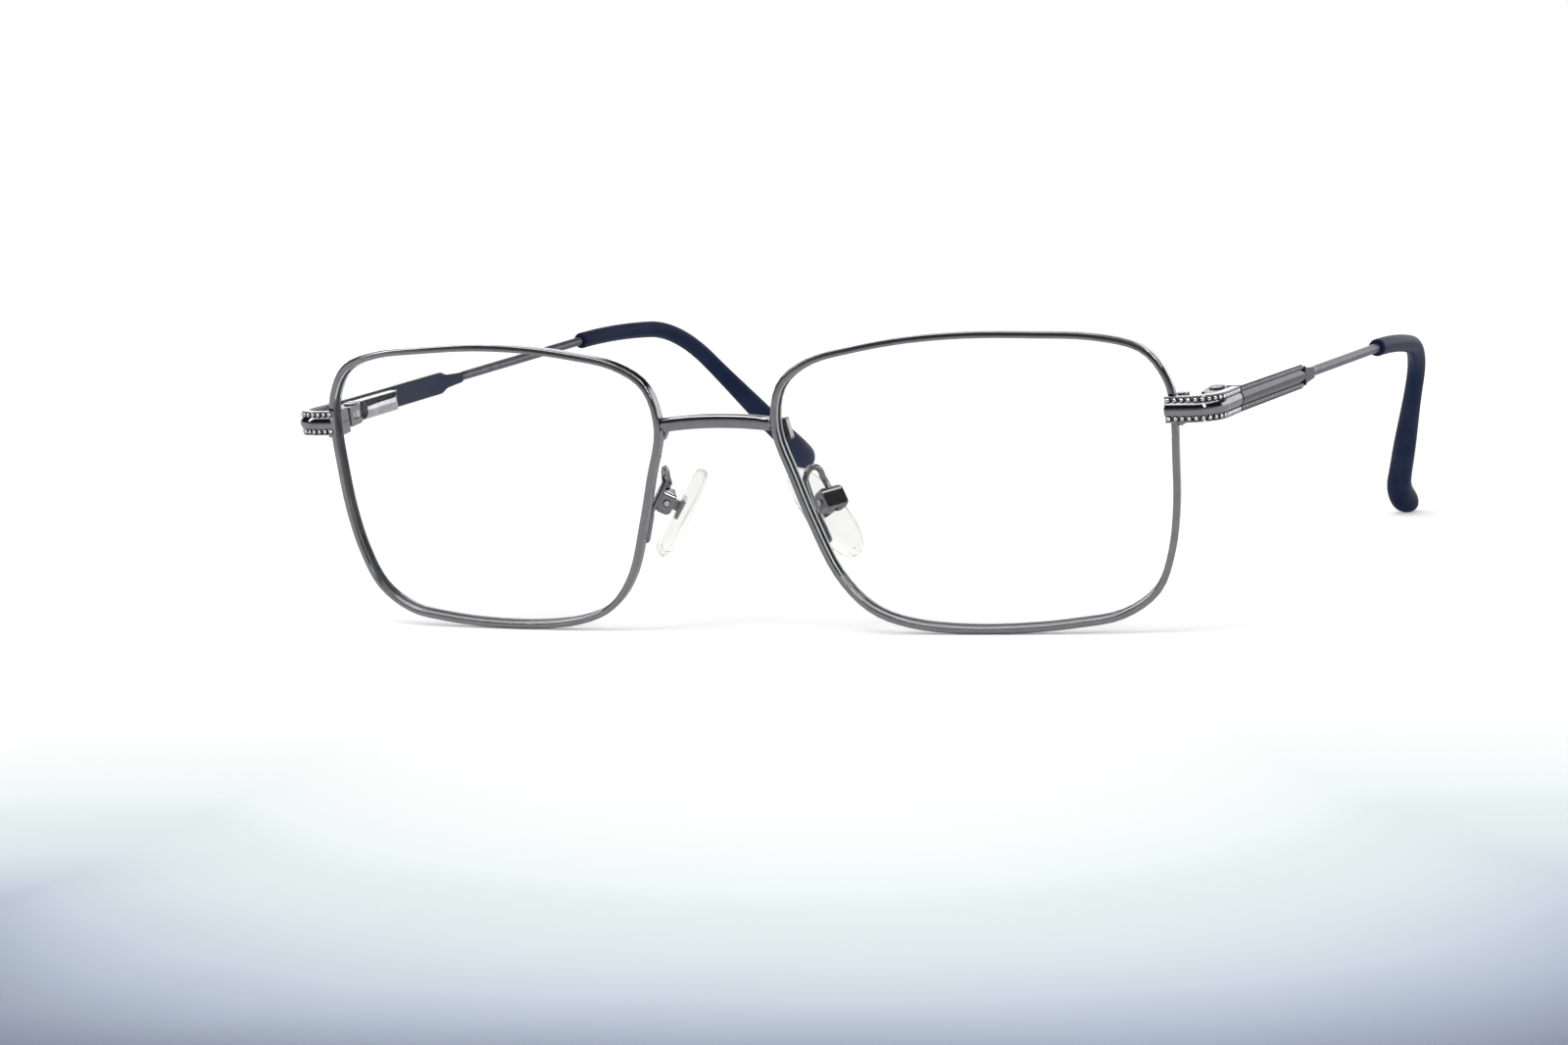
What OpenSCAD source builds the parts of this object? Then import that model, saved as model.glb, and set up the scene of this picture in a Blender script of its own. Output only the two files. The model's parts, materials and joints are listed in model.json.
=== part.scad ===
// Rectangular full-rim metal eyeglasses with spring hinges and screwed nose pads.
// The front is modelled upright: X runs to the wearer's left, Y backwards to the ears, Z up,
// from the point midway between the lens centres. At the end it is leaned as it stands on a table.

/* [Lenses and rims] */
// Distance between the lens centres
lens_spacing = 73; // [68:0.5:80]
// Wrap of each lens about the upright
wrap = 5.3; // [2:0.1:8]
// Radius of the lens surface
base_radius = 180; // [120:5:300]
// Lens width as a share of the drawn outline
lens_w_scale = 1; // [0.95:0.01:1.06]
// Lens height as a share of the drawn outline
lens_h_scale = 1; // [0.9:0.01:1.1]
// Thickness of the clear lens
lens_t = 1.5; // [1.4:0.05:1.6]
// Width of the rim wire seen from the front
rim_w = 0.9; // [0.8:0.02:1.1]
// Depth of the rim wire, front to back
rim_d = 1.75; // [1.5:0.05:1.9]
// Depth of the groove that holds the lens
groove_d = 0.36; // [0.3:0.02:0.42]

/* [Bridge] */
// Height of the bridge bar
bridge_h = 1.8; // [1.6:0.1:2.6]
// Thickness of the bridge bar, front to back
bridge_t = 1.3; // [1:0.1:1.6]
// Height of the middle of the bridge above the lens centres
bridge_z = 7.8; // [5:0.1:10]
// Radius of the bridge's upward arch
bridge_arch = 66; // [40:1:120]
// Height of the brazed foot behind each rim
foot_h = 2.8; // [2:0.1:4]

/* [Nose pads] */
// Distance between the two pad boxes
box_spacing = 24.6; // [22:0.2:28]
// How far the pad boxes stand behind the front's middle plane
box_y = 5.9; // [5:0.1:8]
// Height of the pad boxes, below the lens centres
box_z = -4.7; // [-8:0.1:-3]
// Lean of the pad tops towards the nose
pad_lean = 32; // [20:1:36]
// Spread of the pads' rear edges
pad_spread = 29; // [15:1:35]
// Forward tilt of the pad tops, in the pad's own plane
pad_tilt = 16; // [0:1:20]
// Length of a nose pad
pad_l = 14.4; // [11:0.2:16]
// Width of a nose pad
pad_w = 6.0; // [5:0.2:9]
// Thickness of a nose pad
pad_t = 2.4; // [1.8:0.1:2.6]
// Diameter of the pad arm wire
arm_d = 0.9; // [0.8:0.05:1.2]
// Diameter of the pad screw
pad_screw_d = 0.8; // [0.7:0.05:1]

/* [End pieces and hinges] */
// Distance between the two hinge axes
hinge_spacing = 129.6; // [127:0.2:133]
// How far the hinge axes stand behind the front's middle plane
hinge_y = 13; // [12:0.1:15]
// Height of the hinge's middle above the lens centres
hinge_z = 6.5; // [5:0.1:8]
// From the hinge axis out to the middle of the temple
temple_offset = 2.9; // [2.8:0.05:3.3]
// Height of the end piece
end_h = 3.3; // [3:0.1:3.8]
// Thickness of the end piece and blade, without the ridge
plate_t = 1.1; // [0.9:0.05:1.2]
// Outer radius of the end piece's corner
corner_r = 4.2; // [3:0.1:5]
// How far the ridge stands proud of the plate
ridge_t = 0.3; // [0.25:0.05:0.5]
// Gap at the seam between end piece and temple
seam_gap = 0.18; // [0.16:0.01:0.3]
// Height of the hinge, over both ears
hinge_h = 2.8; // [2.6:0.1:3.2]
// Gap between the two ears
slot_h = 1.1; // [1:0.05:1.2]
// Radius of the ears
ear_r = 1.3; // [1.2:0.05:1.4]
// Diameter of the hinge screw
hinge_screw_d = 1.2; // [1.1:0.05:1.3]
// Diameter of the bore in the spring box
spring_bore = 1.8; // [1.6:0.05:1.9]
// Length of the spring
spring_l = 4.1; // [3.6:0.1:4.2]

/* [Temples] */
// Fall of the temples behind the hinge, in degrees
temple_drop = 5.8; // [3:0.1:9]
// How much lower the left temple is set than the fall, and the right one higher
adjustment = 1.7; // [1:0.1:2.5]
// Inward set of the temples, in degrees
temple_splay = 2.1; // [1:0.1:4]
// From the hinge axis to the end of the blade
blade_l = 28; // [26:0.1:32]
// Height of the blade at its rear end
blade_end_h = 3.2; // [2.6:0.1:3.2]
// Diameter of the temple wire
wire_d = 1.35; // [1.2:0.05:1.6]
// From the hinge axis to the front of the plastic tip
sleeve_y = 69; // [62:0.5:76]
// Length of the gentle curve from there to the ear bend
ease_l = 21.6; // [14:0.1:26]
// Angle of the gentle curve
ease_a = 7.7; // [3:0.1:9]
// Radius of the ear bend
bend_r = 20.7; // [16:0.1:30]
// Angle of the ear bend
bend_a = 44; // [40:0.1:56]
// Turn of the bend's plane towards the head
bend_in = 21.9; // [15:0.5:25]
// Straight length behind the bend
end_l = 30.4; // [24:0.2:34]
// Diameter of the plastic tip where it starts
sleeve_d = 2.5; // [2.3:0.1:3]
// Width of the tip's paddle
paddle_w = 5.2; // [4.8:0.1:7]
// Thickness of the tip's paddle
paddle_t = 3.8; // [2.8:0.1:4.4]

/* [Hidden] */
$fn = 48;
fit = 0.03;      // radial clearance of a pin in its hole
braze = 0.08;    // how far brazed pieces run into each other
eps = 0.01;
over = 1;        // how far a cutter or a trimmed piece runs past the cut

// Outline of the rim wire's middle line round the left lens centre, from the split at its outer
// side over the top to the nose and back below. The first number grows away from the nose.
outline = [
    [25.5, 7.0], [24.85, 11.3], [21.95, 15.25], [16.0, 17.1], [8.5, 17.8], [0, 18.2], [-8.0, 17.9],
    [-15.5, 16.9], [-22.2, 15.35], [-26.6, 12.2], [-27.8, 6.5], [-25.9, 0], [-24.0, -6.0],
    [-21.3, -13.0], [-17.4, -17.7], [-11.95, -19.95], [-4.5, -20.8], [3.5, -20.8], [10.5, -20.3],
    [16.5, -19.3], [21.25, -16.15], [23.6, -11.0], [24.8, -5.0], [25.25, 1.0]
];
steps = 4;       // rings between two outline points
n_out = len(outline);
n_ring = n_out * steps;
half_spacing = lens_spacing / 2;

// Vector helpers
function unit(v) = v / norm(v);
function turn_x(v, a) = [v.x, v.y * cos(a) - v.z * sin(a), v.y * sin(a) + v.z * cos(a)];
function turn_y(v, a) = [v.x * cos(a) + v.z * sin(a), v.y, -v.x * sin(a) + v.z * cos(a)];
function turn_z(v, a) = [v.x * cos(a) - v.y * sin(a), v.x * sin(a) + v.y * cos(a), v.z];

// The bowed and wrapped lens surface
function surface_y(u, z) = tan(wrap) * u + (u * u + z * z) / (2 * base_radius);
function on_surface(p) = [half_spacing + p.x, surface_y(p.x, p.y), p.y];
function surface_normal(p) = unit([-tan(wrap) - p.x / base_radius, 1, -p.y / base_radius]);

// A smooth closed curve through the outline's points: place and direction at t, counted in points
function knot(i) = let (p = outline[(i + n_out) % n_out]) [p.x * lens_w_scale, p.y * lens_h_scale];
function curve(t) =
    let (i = floor(t), f = t - i, a = knot(i - 1), b = knot(i), c = knot(i + 1), d = knot(i + 2))
    0.5 * (2 * b + (c - a) * f + (2 * a - 5 * b + 4 * c - d) * f * f
        + (3 * b - a - 3 * c + d) * f * f * f);
function outward(t) =
    let (v = unit(curve(t + 0.02) - curve(t - 0.02))) [v.y, -v.x];
// A point beside the curve: r away from the lens centre, d along the lens's normal
function beside(t, r, d) =
    let (p = curve(t), q = on_surface(p), away = unit(on_surface(p + 0.01 * outward(t)) - q))
    q + away * r + surface_normal(p) * d;

// Standing pose: the front leans until both rims and the left tip touch the table
function temple_fall(side) = temple_drop + side * adjustment;
function on_temple(v, side) =
    turn_z(turn_x(v, -temple_fall(side)), temple_splay) + [hinge_spacing / 2, hinge_y, hinge_z];
function on_bend(v) = turn_y(v, bend_in) + [temple_offset, sleeve_y, 0];
// The middle line of wire and tip from the sleeve's front: a gentle curve, the ear bend, a straight end
ease_r = ease_l / ease_a * 180 / PI;
bend_end = ease_l + bend_r * bend_a * PI / 180;
tip_end = bend_end + end_l;
function bend_angle(s) =
    s < ease_l ? max(0, s / ease_r * 180 / PI)
    : min(ease_a + bend_a, ease_a + (s - ease_l) / bend_r * 180 / PI);
function arc_step(r, from, to) = r * [0, sin(to) - sin(from), cos(to) - cos(from)];
function bend_point(s) =
    let (a = bend_angle(s))
    s < 0 ? [0, s, 0]
    : arc_step(ease_r, 0, min(a, ease_a)) + arc_step(bend_r, ease_a, max(a, ease_a))
        + max(0, s - bend_end) * [0, cos(a), -sin(a)];
// A ring across the bend's middle line
function bend_ring(s, half_w, half_t, sides) =
    let (p = bend_point(s), a = bend_angle(s))
    [for (j = [0 : sides - 1])
        let (q = (j + 0.5) * 360 / sides)
        p + [half_t * sin(q), half_w * cos(q) * sin(a), half_w * cos(q) * cos(a)]];
// The paddle's end curls outward and back
curl_run = 8;            // from this far before the end
curl_out = 2.0;
curl_back = 2.2;
function tip_curl(s) =
    let (k = max(0, (s - tip_end + curl_run) / curl_run), a = ease_a + bend_a)
    k * k * [curl_out, curl_back * sin(a), curl_back * cos(a)];
rim_low = min([for (p = outline) p.y]) * lens_h_scale;
rim_rest_r = 0.737;      // from the rim's middle line down to the table
tip_rest_r = norm([paddle_w / 2 * cos(bend_in), paddle_t / 2 * sin(bend_in)]) - 0.224;
rim_rest = [surface_y(1, rim_low), rim_low];
function tip_place(side) =
    let (s = tip_end - paddle_w / 2, p = on_temple(on_bend(bend_point(s) + tip_curl(s)), side)) [p.y, p.z];
tip_rest = tip_place(1);
tip_back = tip_place(-1);
rest_run = norm(tip_rest - rim_rest);
lean = atan2(rim_rest.y - tip_rest.y, tip_rest.x - rim_rest.x)
    + asin((tip_rest_r - rim_rest_r) / rest_run);
floor_z = rim_rest.x * sin(lean) + rim_rest.y * cos(lean) - rim_rest_r;
front_y = -2.611;
back_y = tip_back.x * cos(lean) - tip_back.y * sin(lean) + paddle_w / 2;
middle_y = (front_y + back_y) / 2;

module stand() {
    translate([0, -middle_y, -floor_z]) rotate([lean, 0, 0]) children();
}
// side is 1 on the wearer's left and -1 on the right
module on_side(side) {
    stand() mirror([side < 0 ? 1 : 0, 0, 0]) children();
}
module at_hinge() {
    translate([hinge_spacing / 2, hinge_y, hinge_z]) children();
}
module at_temple(side) {
    at_hinge() rotate([0, 0, temple_splay]) rotate([-temple_fall(side), 0, 0]) children();
}
function on_pad_box(v) =
    turn_z(turn_y(v, -pad_lean), -pad_spread) + [box_spacing / 2, box_y, box_z];
module at_pad_box() {
    translate([box_spacing / 2, box_y, box_z]) rotate([0, -pad_lean, -pad_spread]) children();
}
// A rod with round ends between two points
module capsule(a, b, r) {
    v = b - a;
    translate(a) rotate([0, acos(v.z / norm(v)), atan2(v.y, v.x)]) rotate_extrude() {
        square([r, norm(v)]);
        intersection() {
            union() {
                circle(r = r);
                translate([0, norm(v)]) circle(r = r);
            }
            translate([0, -r]) square([r, norm(v) + 2 * r]);
        }
    }
}
module along_y(r, h) {
    rotate([-90, 0, 0]) cylinder(r = r, h = h);
}
// A swept skin: rings of points joined by quads, closed at both ends
module skin(rings, sides) {
    n = len(rings);
    points = [for (ring = rings) each ring];
    walls = [for (i = [0 : n - 2], j = [0 : sides - 1])
        let (k = (j + 1) % sides)
        each [[i * sides + j, (i + 1) * sides + j, (i + 1) * sides + k],
              [i * sides + j, (i + 1) * sides + k, i * sides + k]]];
    first = [[for (j = [0 : sides - 1]) j]];
    last = [[for (j = [sides - 1 : -1 : 0]) (n - 1) * sides + j]];
    polyhedron(points = points, faces = concat(walls, first, last), convexity = 6);
}

// Rims
rim_section = let (w = rim_w / 2, d = rim_d / 2, c = 0.15) [
    [-w + c, -d], [w - c, -d], [w, -d + c], [w, d - c], [w - c, d], [-w + c, d],
    [-w, d - c], [-w, groove_d], [-w + groove_d, 0], [-w, -groove_d], [-w, -d + c]
];
rim_split = 0.012;
module rim(side) {
    color([0.36, 0.36, 0.38]) on_side(side)
        skin([for (i = [0 : n_ring])
            let (t = min(n_out - rim_split, max(rim_split, i / steps)))
            [for (p = rim_section) beside(t, p.x, p.y)]], len(rim_section));
}

// Lenses: a bevelled edge in the rim's groove and two bowed faces
lens_gap = 0.04;
module lens(side) {
    edge = -rim_w / 2 - lens_gap;
    apex = -rim_w / 2 + groove_d - 2 * lens_gap;
    v = groove_d - lens_gap / 2;
    loop = [for (i = [0 : n_ring - 1]) i / steps];
    function ring(r, d) = [for (t = loop) beside(t, r, d)];
    function inner(share, d) = [for (t = loop)
        let (p = curve(t) * share) on_surface(p) + surface_normal(p) * d];
    half = lens_t / 2;
    rings = [inner(0.05, -half), inner(0.55, -half), ring(edge, -half),
        ring(edge, -v), ring(apex, 0), ring(edge, v), ring(edge, half),
        inner(0.55, half), inner(0.05, half)];
    color([0.93, 0.95, 0.95, 0.3]) on_side(side) skin(rings, n_ring);
}

// Bridge: an arched bar with a rounded top, and a foot brazed behind each rim
bridge_end = half_spacing + knot(10).x - rim_w / 2;
bridge_y = surface_y(knot(10).x, bridge_z);
module bridge_section() {
    top_r = bridge_t / 2;
    translate([-bridge_h / 2, -top_r]) square([bridge_h - top_r, bridge_t]);
    translate([bridge_h / 2 - top_r, 0]) circle(r = top_r);
}
foot_top = 1.0;          // the foot ends this far under the bar's top
foot_lean = 0.5;         // and follows the rim's slope outward by this much
foot_w = 1.4;
foot_t = 1.1;
tab_w = 0.6;             // a small corner under the bar, on the nose side
module bridge_foot() {
    low = bridge_z - bridge_h / 2;
    top = low + bridge_h - foot_top;
    behind = rim_d / 2 + bridge_t / 2;
    translate([0, bridge_y + rim_d / 2 - braze + foot_t, 0]) rotate([90, 0, 0]) linear_extrude(foot_t)
        polygon([[bridge_end, top], [bridge_end + foot_w, top],
            [bridge_end + foot_w + foot_lean, top - foot_h], [bridge_end + foot_lean, top - foot_h],
            [bridge_end - tab_w, low], [bridge_end, low]]);
    translate([bridge_end - tab_w, bridge_y - bridge_t / 2, low - eps])
        cube([tab_w + braze, behind + foot_t / 2, bridge_h - foot_top]);
}
module bridge() {
    half_angle = asin((bridge_end - 0.3) / bridge_arch);
    color([0.36, 0.36, 0.38]) stand() {
        translate([0, bridge_y, bridge_z - bridge_arch]) rotate([90, 0, 0])
            rotate([0, 0, 90 - half_angle]) rotate_extrude(angle = 2 * half_angle, $fn = 96)
                translate([bridge_arch, 0]) bridge_section();
        for (m = [0, 1]) mirror([m, 0, 0]) bridge_foot();
    }
}

// End pieces: a ridged strip in front of the rim, round the corner and back to the seam.
// Its places are counted from the hinge axis, before the temple's fall turns it.
lock_x = half_spacing + knot(0).x + rim_w / 2;
lock_y = surface_y(knot(0).x, knot(0).y);
strip_lap = 0.15;        // how far the strip's free end reaches over the lens
lens_relief = 0.35;      // depth cut from the strip's back there, clear of the lens
relief_end = 0.3;        // the cut ends this far from the rim's inner side
strip_out = temple_offset + plate_t / 2;
plate_in = temple_offset - plate_t / 2;
strip_front = lock_y - rim_d / 2 - plate_t - hinge_y;
strip_start = lock_x - rim_w - strip_lap - hinge_spacing / 2;
seam_y = -1.25;
ridge_h = 1.65;
bead_row = 1.18;         // the rows of beads stand this far above and below the middle
bead_channel = 0.6;
channel_depth = 0.22;
module strip_section() {
    ridge_r = (ridge_h * ridge_h / 4 + ridge_t * ridge_t) / (2 * ridge_t);
    difference() {
        translate([-plate_t, -end_h / 2]) square([plate_t, end_h]);
        for (m = [-1, 1])
            translate([-channel_depth, m * bead_row - bead_channel / 2]) square([over, bead_channel]);
    }
    intersection() {
        translate([ridge_t - ridge_r, 0]) circle(r = ridge_r);
        translate([-plate_t / 2, -ridge_h / 2]) square([plate_t / 2 + ridge_t, ridge_h]);
    }
}
// The strip along Y, with its outer face towards X
module strip(length) {
    rotate([90, 0, 0]) mirror([0, 0, 1]) linear_extrude(length) strip_section();
}
module end_piece(side) {
    center = [strip_out - corner_r, strip_front + corner_r];
    color([0.40, 0.40, 0.42]) on_side(side) difference() {
        at_hinge() rotate([-temple_drop, 0, 0]) union() {
            translate([strip_start, strip_front, 0]) rotate([0, 0, -90])
                strip(center.x - strip_start);
            translate([center.x, center.y, 0]) rotate([0, 0, -90]) rotate_extrude(angle = 90)
                translate([corner_r, 0]) strip_section();
            translate([strip_out, center.y, 0]) strip(seam_y + over - center.y);
        }
        at_temple(side) translate([0, seam_y, -end_h]) cube([2 * strip_out, 3 * over, 2 * end_h]);
        at_hinge() rotate([-temple_drop, 0, 0])
            translate([strip_start - over, strip_front + plate_t - lens_relief, -end_h])
                cube([over + strip_lap + relief_end, over, 2 * end_h]);
    }
}

// Rim locks: two blocks behind the rim's ends, joined by a tongue to the end piece's back
// and drawn together by a screw
lock_w = 1.6;
lock_up = 1.8;
lock_down = 1.75;
lock_in = lock_x - rim_w + 0.05;
lock_front = lock_y + rim_d / 2 - braze;
lock_back = lock_y + 2.8;
tongue_w = 0.75;
lock_slit = 0.05;        // half the gap between the two blocks
plate_back = hinge_y + strip_front + plate_t;
lock_clear = 0.3;        // from the end piece's back to the lower block
lock_screw_r = 0.35;
lock_screw_at = [lock_in + lock_w / 2 + 0.1, (lock_front + lock_back) / 2];
lock_head_r = 0.5;
lock_head_t = 0.35;
lock_head_sink = 0.2;
module lock_block(front, low, high) {
    difference() {
        translate([0, 0, knot(0).y + low]) linear_extrude(high - low) {
            translate([lock_x - braze, front]) square([tongue_w, lock_back - front]);
            translate([lock_in, lock_front]) square([lock_w, lock_back - lock_front]);
        }
        translate([lock_screw_at.x, lock_screw_at.y, knot(0).y + low - over])
            cylinder(r = lock_screw_r + fit, h = high - low + 2 * over);
        translate([lock_screw_at.x, lock_screw_at.y, knot(0).y + lock_up - lock_head_sink])
            cylinder(r = lock_head_r + fit, h = lock_up);
    }
}
module rim_lock_upper(side) {
    color([0.42, 0.42, 0.44]) on_side(side) lock_block(plate_back - braze / 2, lock_slit, lock_up);
}
module rim_lock_lower(side) {
    color([0.42, 0.42, 0.44]) on_side(side)
        lock_block(plate_back + lock_clear, -lock_down, -lock_slit);
}
// A screw whose head stands on Z = 0; its slot is as wide as a third of the head's radius
module slotted_screw(r, length, head_r, head_t) {
    slot_w = head_r / 3;
    difference() {
        union() {
            translate([0, 0, -length]) cylinder(r = r, h = length + eps);
            cylinder(r = head_r, h = head_t);
        }
        translate([-head_r - over, -slot_w / 2, head_t / 2])
            cube([2 * (head_r + over), slot_w, head_t]);
    }
}
module rim_screw(side) {
    color([0.55, 0.55, 0.57]) on_side(side)
        translate([lock_screw_at.x, lock_screw_at.y, knot(0).y + lock_up - lock_head_sink])
            slotted_screw(lock_screw_r, lock_up - lock_head_sink + lock_down, lock_head_r, lock_head_t);
}

// Hinges
screw_r = hinge_screw_d / 2;
leaf_back = -1.7;
leaf_front = -3.7;
ear_front = -2.4;
leaf_in = -0.6;
head_r = 1.0;
head_sink = 0.3;
head_proud = 0.2;
module leaf_plan() {
    circle(r = ear_r);
    translate([-ear_r, ear_front]) square([2 * ear_r, -ear_front]);
    translate([leaf_in, leaf_front]) square([plate_in - leaf_in, leaf_back - leaf_front]);
}
module hinge_leaf(side) {
    color([0.42, 0.42, 0.44]) on_side(side) at_hinge() difference() {
        translate([0, 0, -hinge_h / 2]) linear_extrude(hinge_h) leaf_plan();
        translate([-ear_r - over, leaf_back, -slot_h / 2])
            cube([2 * (ear_r + over), ear_r - leaf_back + over, slot_h]);
        translate([0, 0, -hinge_h]) cylinder(r = screw_r + fit, h = 2 * hinge_h);
        translate([0, 0, hinge_h / 2 - head_sink]) cylinder(r = head_r + fit, h = hinge_h);
    }
}
module hinge_screw(side) {
    color([0.6, 0.6, 0.62]) on_side(side) at_hinge() translate([0, 0, hinge_h / 2 - head_sink])
        slotted_screw(screw_r, hinge_h - head_sink, head_r, head_sink + head_proud);
}

// Spring slider: an eye between the ears on a rod that runs into the spring box
eye_r = 1.15;
eye_gap = 0.05;
slider_w = 0.9;
slider_h = 0.7;
rod_r = 0.5;
rod_start = 1.3;
slider_end = 1.5;
collar_y = 2.4;
collar_l = 0.7;
cap_l = 0.7;
cap_r = spring_bore / 2 - 0.08;
rod_end = collar_y + collar_l + spring_l + cap_l;
box_start = 2.2;
box_straight = 8.2;
box_dome = 5;
box_end = box_straight + box_dome;
bore_end = rod_end + 0.3;
module spring_slider(side) {
    color([0.62, 0.62, 0.64]) on_side(side) difference() {
        union() {
            at_hinge() translate([0, 0, -slot_h / 2 + eye_gap])
                cylinder(r = eye_r, h = slot_h - 2 * eye_gap);
            at_temple(side) {
                translate([-slider_w / 2, 0, -slider_h / 2]) cube([slider_w, slider_end, slider_h]);
                translate([0, rod_start, 0]) along_y(rod_r, rod_end - cap_l / 2 - rod_start);
            }
        }
        at_hinge() translate([0, 0, -slot_h]) cylinder(r = screw_r + fit, h = 2 * slot_h);
    }
}
module slider_cap(side) {
    color([0.62, 0.62, 0.64]) on_side(side) at_temple(side) difference() {
        translate([0, rod_end - cap_l, 0]) along_y(cap_r, cap_l);
        translate([0, rod_end - cap_l - over, 0]) along_y(rod_r, over + cap_l / 2);
    }
}
module spring_collar(side) {
    color([0.5, 0.5, 0.52]) on_side(side) at_temple(side) difference() {
        translate([0, collar_y, 0]) along_y(spring_bore / 2, collar_l);
        translate([0, collar_y - over, 0]) along_y(rod_r + 0.05, collar_l + 2 * over);
    }
}
// The spring: a wound wire between collar and cap
spring_wire = 0.24;
spring_end_gap = 0.02;
coils = 6;
module hinge_spring(side) {
    r = cap_r - spring_wire / 2;
    sides = 5;
    per_turn = 10;
    start = collar_y + collar_l + spring_wire / 2 + spring_end_gap;
    run = spring_l - spring_wire - 2 * spring_end_gap;
    rings = [for (i = [0 : coils * per_turn])
        let (a = i * 360 / per_turn, y = start + run * i / (coils * per_turn),
            c = [r * cos(a), y, r * sin(a)], o = [cos(a), 0, sin(a)])
        [for (j = [0 : sides - 1])
            c + (o * cos(j * 360 / sides) + [0, 1, 0] * sin(j * 360 / sides)) * spring_wire / 2]];
    color([0.7, 0.7, 0.72]) on_side(side) at_temple(side) skin(rings, sides);
}
module spring_box(side) {
    round_r = hinge_h / 2;
    depth = plate_in + ear_r;
    dome_r = (depth * depth + box_dome * box_dome) / (2 * depth);
    color([0.5, 0.5, 0.52]) on_side(side) at_temple(side) difference() {
        intersection() {
            translate([0, box_start, 0]) rotate([90, 0, 0]) mirror([0, 0, 1])
                linear_extrude(box_end - box_start) {
                    translate([round_r - ear_r, 0]) circle(r = round_r);
                    translate([round_r - ear_r, -round_r]) square([depth - round_r, hinge_h]);
                }
            translate([0, 0, -hinge_h]) linear_extrude(2 * hinge_h) {
                translate([-ear_r - over, 0]) square([depth + over, box_straight]);
                intersection() {
                    translate([-ear_r + dome_r, box_straight]) circle(r = dome_r, $fn = 96);
                    translate([-ear_r - over, box_straight - eps]) square([depth + over, box_dome + over]);
                }
            }
            rotate([90, 0, 90]) translate([0, 0, -ear_r - over]) linear_extrude(depth + 2 * over) {
                translate([box_start, -round_r]) square([box_end - round_r - box_start, hinge_h]);
                translate([box_end - round_r, 0]) circle(r = round_r);
            }
        }
        translate([0, box_start - over, 0]) along_y(spring_bore / 2, bore_end - box_start + over);
    }
}

// Temples: a ridged blade that draws down to a wire, which runs on inside the plastic tip
taper_l = 4.8;
blade_round = 0.9;       // length of the rounded shoulders at the blade's end
neck_h = 2.0;            // height of the taper where it leaves the shoulders
wire_r = wire_d / 2;
shoulder = 0.06;         // the taper ends this much thicker than the wire
core_r = wire_r - 0.08;  // the wire is drawn thinner inside the bend
core_lap = 1.5;
core_sides = 10;
wire_stop = tip_end - 9;
module blade_side() {
    h = end_h / 2;
    e = blade_end_h / 2;
    w = wire_r + shoulder;
    lobe = [[blade_l - blade_round, e], [blade_l - blade_round / 3, e - blade_round / 6],
        [blade_l + blade_round / 3, e - blade_round / 2], [blade_l + blade_round, neck_h / 2],
        [blade_l + taper_l, w]];
    low = [for (i = [len(lobe) - 1 : -1 : 0]) [lobe[i].x, -lobe[i].y]];
    polygon(concat([[seam_y + seam_gap, -h], [seam_y + seam_gap, h]], lobe, low));
}
module blade_top() {
    w = wire_r + shoulder;
    polygon([[plate_in, seam_y], [strip_out + ridge_t, seam_y], [strip_out + ridge_t, blade_l - over],
        [temple_offset + w, blade_l + taper_l], [temple_offset - w, blade_l + taper_l],
        [plate_in, blade_l]]);
}
module temple_wire() {
    lap = taper_l / 6;
    translate([temple_offset, blade_l + taper_l - lap, 0])
        along_y(wire_r, sleeve_y + core_lap - blade_l - taper_l + lap);
    core = concat([0], [for (i = [1 : 4]) i * ease_l / 4],
        [for (i = [1 : 8]) ease_l + i * (bend_end - ease_l) / 8], [wire_stop]);
    translate([temple_offset, sleeve_y, 0]) rotate([0, bend_in, 0])
        skin([for (s = core) bend_ring(s, core_r, core_r, core_sides)], core_sides);
}
module temple(side) {
    color([0.40, 0.40, 0.42]) on_side(side) at_temple(side) union() {
        intersection() {
            translate([temple_offset, 0, 0]) rotate([90, 0, 90])
                linear_extrude(plate_t * 3, center = true) blade_side();
            translate([0, 0, -end_h]) linear_extrude(2 * end_h) blade_top();
            union() {
                translate([strip_out, seam_y, 0]) strip(blade_l - seam_y + eps);
                translate([temple_offset, blade_l, 0])
                    along_y(blade_end_h / 2, taper_l + over);
            }
        }
        temple_wire();
    }
}
// Enamel: a coloured inlay on the blade's inner face, from the spring box to the taper's end
enamel_t = 0.2;
enamel_inset = 0.2;
module enamel(side) {
    w = wire_r + shoulder;
    e = blade_end_h / 2 - enamel_inset;
    start = box_end - hinge_h / 2;
    edge = [[start, e], [blade_l - blade_round, e], [blade_l + blade_round / 3, e - blade_round / 2],
        [blade_l + blade_round, neck_h / 2 - enamel_inset],
        [blade_l + taper_l - enamel_inset, w - enamel_inset]];
    low = [for (i = [len(edge) - 1 : -1 : 0]) [edge[i].x, -edge[i].y]];
    color([0.24, 0.26, 0.35]) on_side(side) at_temple(side) difference() {
        intersection() {
            translate([plate_in - over, 0, 0]) rotate([90, 0, 90]) linear_extrude(plate_t + over)
                polygon(concat(edge, low));
            translate([0, 0, -end_h]) linear_extrude(2 * end_h)
                polygon([[plate_in - enamel_t, 0], [plate_in, 0], [plate_in, blade_l],
                    [temple_offset - w, blade_l + taper_l], [temple_offset - w - enamel_t, blade_l + taper_l],
                    [plate_in - enamel_t, blade_l]]);
        }
        translate([0, start, 0]) rotate([0, 90, 0])
            cylinder(r = hinge_h / 2 + braze, h = temple_offset);
    }
}

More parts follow.
